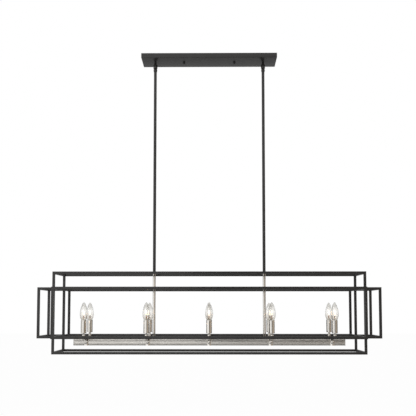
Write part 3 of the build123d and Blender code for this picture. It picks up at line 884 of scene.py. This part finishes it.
def make_light_bar():
    """Nickel bar with its end caps, and the two nickel rods and collars that carry it."""
    bar = soften(block(BAR_LOW, BAR_HIGH), sizes().plate_edge / MM, keep=runs_along(0))
    piece("nickel_bar", bar, "pendant", "polished_nickel", "light_bar", finish="brushed_nickel")
    low, high = span("light_bar_end_caps")
    caps = []
    for start, end in ((low.x, BAR_LOW.x), (BAR_HIGH.x, high.x)):
        caps.append(soften(block((start, low.y, low.z), (end, high.y, high.z)), width=0.5))
    piece(
        "bar_end_plates",
        together(caps),
        "pendant",
        "polished_nickel",
        "light_bar_end_caps",
        finish="brushed_nickel",
    )
    radius = span("lower_rod_right")[1].y
    for side, sign in SIDES.items():
        node = f"lower_rod_{side}"
        low, high = span(node)
        rod = moved(cylinder(radius, low.z, high.z, bore=ROD_BORE), (sign * ROD_X, 0, 0))
        piece(f"nickel_rod_{side}", rod, "pendant", "polished_nickel", node)
    low, high = span("lower_rod_collars")
    lower_half = [(radius, low.z), (7.7, low.z), (8, low.z + 0.3)]
    upper_half = [(8, high.z - 1.8), (7.5, high.z - 0.5), (7, high.z), (radius, high.z)]
    collars = copies(turned(lower_half + upper_half, closed=True), RODS)
    piece("rod_seat_collars", collars, "pendant", "polished_nickel", "lower_rod_collars")


def make_stations():
    """Saddles over the bar with their domed nuts, the arms across them and the arms' ends."""
    places = [(x, 0, 0) for x in STATIONS]
    low, high = span("arm_saddles")
    radius = high.y
    saddle = cylinder(radius, low.z, high.z)
    soften(saddle, width=1.5, segments=3, keep=lies_at(high.z))
    slot = block((-radius - 1, BAR_LOW.y, low.z - 1), (radius + 1, BAR_HIGH.y, BAR_HIGH.z))
    saddles = copies(cut(saddle, slot), places)
    piece("bar_saddles", saddles, "pendant", "polished_nickel", "arm_saddles")

    # A domed nut lies along Y and is cut to the round of the saddle that it sits on
    tip = span("saddle_cap_nuts")[1].y
    nut_radius, rim, skirt, reach = 8.25, radius + 4.0, radius - 4, 30
    dome = curve((nut_radius, rim), (nut_radius, rim + 2.2), (4.6, tip), (0, tip))
    nut = along_y(turned([(0, skirt), (nut_radius, skirt)] + dome))
    nut = cut(nut, cylinder(radius, -reach, reach))
    spots = []
    for x in STATIONS:
        spot = Matrix.Translation((x, 0, (BAR_LOW.z + BAR_HIGH.z) / 2))
        spots += [spot, spot @ Matrix.Rotation(math.pi, 4, "Z")]
    piece("domed_nuts", copies(nut, spots), "pendant", "polished_nickel", "saddle_cap_nuts")

    half = span("cross_arms")[1].y
    arm = moved(along_y(cylinder(4.75, -half, half, bore=3)), (0, 0, centre("cross_arms").z))
    piece("arm_tubes", copies(arm, places), "pendant", "polished_nickel", "cross_arms")
    low, high = span("arm_ends")
    drum = soften(cylinder(7.5, low.z, high.z), width=1.8, segments=4, keep=lies_at(low.z))
    piece("arm_end_drums", copies(drum, CANDLES), "pendant", "polished_nickel", "arm_ends")


def make_candles():
    """Turned feet, plated sleeves and the sockets inside them."""
    low, high = span("candle_feet")
    base, top = low.z, high.z
    dish = top - 2.0
    waist = dish - 4.0
    bulge = curve((7.0, base), (8.3, base + 3.5), (7.6, waist - 1.5), (4.5, waist))
    under_dish = [(4.5, top - 2.9), (4.9, top - 2.2), (12.1, dish)]
    rim = [(12.5, top - 1.6), (12.5, top), (0, top)]
    feet = copies(turned([(0, base)] + bulge + under_dish + rim), CANDLES)
    piece("turned_feet", feet, "pendant", "polished_nickel", "candle_feet")

    outer, inner, top = SLEEVE_RADIUS, SLEEVE_RADIUS - 1.0, SLEEVE_TOP
    side = [(inner, SLEEVE_BOTTOM), (outer, SLEEVE_BOTTOM), (outer, top - 0.7)]
    lip = [(outer - 0.2, top - 0.2), (outer - 0.6, top), (outer - 1.2, top - 0.1)]
    lip += [(outer - 1.5, top - 0.6), (outer - 1.2, top - 1.1), (inner, top - 1.4)]
    sleeves = copies(turned(side + lip, closed=True), CANDLES)
    piece("plated_sleeves", sleeves, "pendant", "polished_nickel", "candle_sleeves")

    low, high = span("lamp_sockets")
    base, top, contact = low.z, high.z, span("socket_contacts")[0].z
    side = [(0, base), (8.5, base), (8.5, top - 1), (8.0, top)]
    mouth = [(7.2, top), (6.6, top - 0.6), (6.2, top - 1.5), (6.2, contact), (0, contact)]
    sockets = copies(turned(side + mouth), CANDLES)
    piece("phenolic_sockets", sockets, "pendant", "dark_phenolic", "lamp_sockets")
    refinish("brass", "socket_contacts")


def envelope_line(inset):
    """Side of a bulb's glass from its foot to its tip, as (radius, height) corners."""
    low, high = span("bulb_3_front")
    full = (high.x - low.x) / 2
    neck, waist, widest = (5.2, NECK), (10.0, 0), (full, WIDEST)
    line = [Vector((5.2, GLASS_FOOT))]
    line += curve(neck, (5.6, -7.5), (7.4, -3.4), waist, steps=7)
    line += curve(waist, (13.6, 4.6), (full, 14.5), widest)[1:]
    line += curve(widest, (full, 47), (8.2, 76.5), (0, TIP), steps=20)[1:]
    return [(max(0.0, x - inset), height - (inset if x < 1 else 0)) for x, height in line]


def screw_base():
    """Screw base of one bulb: its contact, its thread and the collar round the neck."""
    first_turn, pitch, turns = -31.0, 2.54, 6
    contact = [(0, -35.5), (2.2, -35.4), (3.0, -34.7), (3.0, -33.3), (4.9, -32.5), (5.3, -31.9)]
    thread = []
    for turn in range(turns):
        start = first_turn + turn * pitch
        thread += [(5.45, start), (5.62, start + 0.45), (5.9, start + 1.1)]
        thread += [(5.9, start + 1.5), (5.62, start + 2.1)]
    collar = [(5.45, -15.7), (5.6, -15.0), (5.6, NECK - 0.3), (5.45, NECK), (5.26, NECK)]
    return turned(contact + thread + collar + [(5.26, BASE_FLOOR), (0, BASE_FLOOR)])


def glass_stem():
    """Flared glass stem that narrows upwards and swells again at its pinch."""
    flare = [(0, BASE_FLOOR), (4.2, BASE_FLOOR), (4.0, -16.5), (3.2, NECK), (2.2, -4), (1.9, 4)]
    pinch = [(2.3, 9), (2.6, 13), (2.5, 16), (1.6, STEM_TOP - 0.7), (0, STEM_TOP)]
    return turned(flare + pinch, steps=24)


def lead_wires():
    """Two wires that spread from the stem's pinch to the feet of the coils."""
    apart, spread = 1.1, math.radians(14)
    side = [(0, LEAD_FOOT), (0.3, LEAD_FOOT), (0.3, COIL_FOOT)]
    lead = turned(side + [(0.2, COIL_FOOT + 0.2), (0, COIL_FOOT + 0.2)], steps=8)
    moved(lead, (0, 0, -LEAD_FOOT))
    return copies(
        lead,
        [
            Matrix.Translation((sign * apart, 0, LEAD_FOOT)) @ Matrix.Rotation(sign * spread, 4, "Y")
            for sign in SIDES.values()
        ],
    )


def filament():
    """Two legs of coiled wire that lean towards each other at the top."""
    wire_radius, coil_radius, apart, inwards = 0.14, 0.55, 2.5, 2.1
    steps_a_turn = 10
    turns = sizes().coil_turns
    steps = turns * steps_a_turn
    coil = bmesh.new()
    bmesh.ops.create_circle(coil, cap_ends=False, segments=6, radius=wire_radius)
    moved(along_y(coil), (coil_radius, 0, 0))
    bmesh.ops.spin(
        coil,
        geom=coil.verts[:] + coil.edges[:],
        cent=(0, 0, 0),
        axis=(0, 0, 1),
        dvec=(0, 0, COIL_LENGTH / steps),
        angle=FULL_TURN * turns,
        steps=steps,
    )
    ends = [edge for edge in coil.edges if edge.is_boundary]
    bmesh.ops.holes_fill(coil, edges=ends, sides=0)
    tidy(coil)
    lean = math.atan(inwards / COIL_LENGTH)
    return copies(
        coil,
        [
            Matrix.Translation((sign * apart, 0, COIL_FOOT)) @ Matrix.Rotation(-sign * lean, 4, "Y")
            for sign in SIDES.values()
        ],
    )


def make_bulbs():
    """Ten bulbs: clear envelope, screw base, stem, lead wires and a coiled filament."""
    outside, inside = envelope_line(0), envelope_line(sizes().glass_wall / MM)
    kinds = [
        ("glass", turned(outside[::-1] + inside), "clear_glass", "clear_glass"),
        ("base", screw_base(), "brass", "brass"),
        ("stem", glass_stem(), "clear_glass", "stem_glass"),
        ("leads", lead_wires(), "zinc_steel", "zinc_steel"),
        ("filament", filament(), "zinc_steel", "hot_filament"),
    ]
    for number, x in enumerate(STATIONS, 1):
        for row, y in ROWS.items():
            lamp = f"{number}_{row}"
            for kind, shape, slot, finish in kinds:
                nodes = [f"bulb_{lamp}"] if kind == "glass" else []
                made = copies(shape, [(x, y, SLEEVE_TOP)])
                obj = piece(
                    f"bulb_{kind}_{lamp}", made, f"lamp_{lamp}", slot, *nodes, finish=finish
                )
                if kind == "filament":
                    # Mirrored in the plating, coils as bright as these would be speckles
                    obj.visible_diffuse = False
                    obj.visible_glossy = False


def finish_hidden_fittings():
    """Zinc on the CAD nodes inside the rods, the bar and the sleeves."""
    refinish("zinc_steel", "rod_joint_studs", "through_nipples", "bar_nipples")
    refinish("zinc_steel", "bar_lock_nuts", "saddle_bolts", "socket_nipples")


# ------------------------------------------------------------ the stage, in metres

FLOOR_LEVEL = -2.3
LAMP_AIM = (0, 0, -1.1)

# Upright cards that the nickel and the paint mirror: name, where it stands on the floor
# plan from one end to the other, its bottom, its top and its colour
CARDS = [
    ("front_strip", (-0.03, -1.1), (0.2, -1.1), -1.31, -0.5, (0.01, 0.01, 0.01)),
    ("front_dark_card", (0.45, -4.5), (1.7, -4.5), -1.43, 0.4, (0.02, 0.02, 0.02)),
    ("front_low_card", (0.3, -4.5), (1.7, -4.5), -2.25, -1.43, (0.46, 0.45, 0.44)),
    ("right_card", (1.7, -4.5), (3.4, 0.6), -2.2, 0.8, (0.42, 0.36, 0.30)),
    ("back_card", (-4.0, 4.2), (4.0, 4.2), -2.25, 0.9, (0.37, 0.37, 0.37)),
    ("left_flag", (-3.7, 0.7), (-2.6, 3.9), -2.2, 0.3, (0.06, 0.06, 0.06)),
    ("right_flag", (3.7, 1.2), (2.9, 3.9), -2.2, 0.3, (0.06, 0.06, 0.06)),
]


def stage_object(name, shape, material):
    """An object of the studio, which isn't part of the pendant."""
    mesh = bpy.data.meshes.new(name)
    shape.to_mesh(mesh)
    shape.free()
    mesh.materials.append(material)
    obj = bpy.data.objects.new(name, mesh)
    bpy.context.scene.collection.objects.link(obj)
    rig.stage(obj)
    return obj


def make_card(name, corners, colour):
    """A plain card that only reflections see."""
    shape = bmesh.new()
    shape.faces.new([shape.verts.new(corner) for corner in corners])
    material = bpy.data.materials.new(name)
    material.use_nodes = True
    nodes, links = material.node_tree.nodes, material.node_tree.links
    nodes.clear()
    glow = nodes.new("ShaderNodeEmission")
    glow.inputs["Color"].default_value = (*colour, 1)
    links.new(glow.outputs[0], nodes.new("ShaderNodeOutputMaterial").inputs[0])
    obj = stage_object(name, shape, material)
    obj.visible_camera = False
    obj.visible_diffuse = False
    obj.visible_transmission = False
    obj.visible_shadow = False


def make_cards():
    """The upright cards, and a grey one that lies just above the floor."""
    for name, start, end, bottom, top, colour in CARDS:
        corners = [(*start, bottom), (*end, bottom), (*end, top), (*start, top)]
        make_card(name, corners, colour)
    half_width, front, back, level = 4, -4.4, 4.2, -2.28
    front_corners = [(-half_width, front, level), (half_width, front, level)]
    back_corners = [(half_width, back, level), (-half_width, back, level)]
    make_card("floor_card", front_corners + back_corners, (0.36, 0.36, 0.36))


def seen_plainly(nodes, links):
    """1 for camera, mirror and see-through rays, 0 for the rays that light the pendant."""
    path = nodes.new("ShaderNodeLightPath")
    total = path.outputs["Is Camera Ray"]
    for name in ("Is Glossy Ray", "Is Transmission Ray"):
        add = nodes.new("ShaderNodeMath")
        add.operation = "MAXIMUM"
        links.new(total, add.inputs[0])
        links.new(path.outputs[name], add.inputs[1])
        total = add.outputs[0]
    return total


def make_world(colour):
    """The backdrop's colour for what is seen, and plain soft light for what is lit."""
    world = bpy.data.worlds.new("studio")
    bpy.context.scene.world = world
    world.use_nodes = True
    nodes, links = world.node_tree.nodes, world.node_tree.links
    nodes.clear()
    lit = nodes.new("ShaderNodeBackground")
    lit.inputs["Color"].default_value = (1, 1, 1, 1)
    lit.inputs["Strength"].default_value = 0.75
    seen = nodes.new("ShaderNodeBackground")
    seen.inputs["Color"].default_value = (*colour, 1)
    mix = nodes.new("ShaderNodeMixShader")
    links.new(seen_plainly(nodes, links), mix.inputs[0])
    links.new(lit.outputs[0], mix.inputs[1])
    links.new(seen.outputs[0], mix.inputs[2])
    links.new(mix.outputs[0], nodes.new("ShaderNodeOutputWorld").inputs[0])


def make_floor(colour):
    """Pale floor well below the pendant, with a little of its shading left to be seen."""
    shape = bmesh.new()
    bmesh.ops.create_grid(shape, x_segments=8, y_segments=8, size=30)
    moved(shape, (0, 0, FLOOR_LEVEL))
    material = bpy.data.materials.new("pale_floor")
    material.use_nodes = True
    nodes, links = material.node_tree.nodes, material.node_tree.links
    matte = nodes["Principled BSDF"]
    matte.inputs["Base Color"].default_value = (0.9, 0.9, 0.9, 1)
    matte.inputs["Roughness"].default_value = 0.9
    seen = nodes.new("ShaderNodeEmission")
    seen.inputs["Color"].default_value = (*colour, 1)
    seen_share = nodes.new("ShaderNodeMath")
    seen_share.operation = "MULTIPLY"
    seen_share.inputs[1].default_value = 0.95
    links.new(seen_plainly(nodes, links), seen_share.inputs[0])
    mix = nodes.new("ShaderNodeMixShader")
    links.new(seen_share.outputs[0], mix.inputs[0])
    links.new(matte.outputs[0], mix.inputs[1])
    links.new(seen.outputs[0], mix.inputs[2])
    links.new(mix.outputs[0], nodes["Material Output"].inputs[0])
    stage_object("floor", shape, material)


def make_lamp(name, place, size, power):
    """Soft square lamp aimed at the box frames, and hidden from mirrors."""
    data = bpy.data.lights.new(name, "AREA")
    data.shape = "SQUARE"
    data.size = size
    data.energy = power
    obj = bpy.data.objects.new(name, data)
    bpy.context.scene.collection.objects.link(obj)
    obj.location = place
    obj.rotation_mode = "QUATERNION"
    obj.rotation_quaternion = (Vector(LAMP_AIM) - Vector(place)).to_track_quat("-Z", "Y")
    obj.visible_glossy = False


def make_camera():
    """Camera at the photograph's viewing angle: level with the box frames, tipped up a little."""
    image_width, shift_pixels = 416, 54
    tilt_up, turn_left = 0.06994, 0.00883
    data = bpy.data.cameras.new("camera")
    data.sensor_width = 36
    data.lens = 59.364
    data.shift_y = shift_pixels / image_width
    data.clip_end = 200
    obj = bpy.data.objects.new("camera", data)
    bpy.context.scene.collection.objects.link(obj)
    obj.location = (0.02227, -3.13781, -1.17770)
    obj.rotation_euler = (math.pi / 2 + tilt_up, 0, turn_left)
    bpy.context.scene.camera = obj


def make_stage():
    """Plain studio: floor, world, lamps, reflection cards and the camera."""
    backdrop = colour_of("backdrop")
    bpy.context.scene.view_settings.view_transform = "Standard"
    make_world(backdrop)
    make_floor(backdrop)
    make_lamp("key_lamp", (-2.6, -3.4, 0.9), size=2.2, power=80)
    make_lamp("fill_lamp", (2.4, 1.8, 0.2), size=2.0, power=14)
    make_cards()
    make_camera()


# ------------------------------------------------------------ operators and panel


def operator_for(word, label, maker):
    """An operator that makes one group of pieces."""

    def execute(self, context):
        maker()
        return {"FINISHED"}

    contents = {
        "bl_idname": f"pendant.{word}",
        "bl_label": label,
        "__doc__": maker.__doc__,
        "execute": execute,
    }
    return type(f"PENDANT_OT_{word}", (bpy.types.Operator,), contents)


STEPS = [
    operator_for("canopy", "Make the canopy", make_canopy),
    operator_for("canopy_fittings", "Make the canopy's fittings", make_canopy_fittings),
    operator_for("swivels", "Make the swivels", make_swivels),
    operator_for("rods", "Make the hanging rods", make_rods),
    operator_for("frames", "Make the box frames", make_frames),
    operator_for("light_bar", "Make the light bar", make_light_bar),
    operator_for("stations", "Make the saddles and arms", make_stations),
    operator_for("candles", "Make the candle sleeves", make_candles),
    operator_for("bulbs", "Make the bulbs", make_bulbs),
    operator_for("hidden_fittings", "Finish the hidden fittings", finish_hidden_fittings),
    operator_for("stage", "Set the stage", make_stage),
]


class PENDANT_PT_panel(bpy.types.Panel):
    """Lists the settings and the steps that make the pendant."""

    bl_idname = "PENDANT_PT_panel"
    bl_label = "Pendant"
    bl_space_type = "VIEW_3D"
    bl_region_type = "UI"
    bl_category = "Pendant"

    def draw(self, context):
        for group in (context.scene.pendant_sizes, context.scene.pendant_colours):
            for key in group.__annotations__:
                self.layout.prop(group, key)
        for step in STEPS:
            self.layout.operator(step.bl_idname)


CLASSES = [PendantSizes, PendantColours, *STEPS, PENDANT_PT_panel]


def register():
    """Adds the settings, the operators and the panel to Blender."""
    for cls in CLASSES:
        bpy.utils.register_class(cls)
    bpy.types.Scene.pendant_sizes = bpy.props.PointerProperty(type=PendantSizes)
    bpy.types.Scene.pendant_colours = bpy.props.PointerProperty(type=PendantColours)


def unregister():
    """Takes them away again."""
    del bpy.types.Scene.pendant_colours
    del bpy.types.Scene.pendant_sizes
    for cls in reversed(CLASSES):
        bpy.utils.unregister_class(cls)


def main():
    """Makes the pendant and its stage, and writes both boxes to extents.json."""
    register()
    for step in STEPS:
        group, word = step.bl_idname.split(".")
        getattr(getattr(bpy.ops, group), word)()
    made_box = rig.bounds()
    with open(SIZE_FILE, "w") as file:
        json.dump({"cad": [list(p) for p in CAD_BOX], "visual": [list(p) for p in made_box]}, file)


if __name__ == "__main__":
    main()
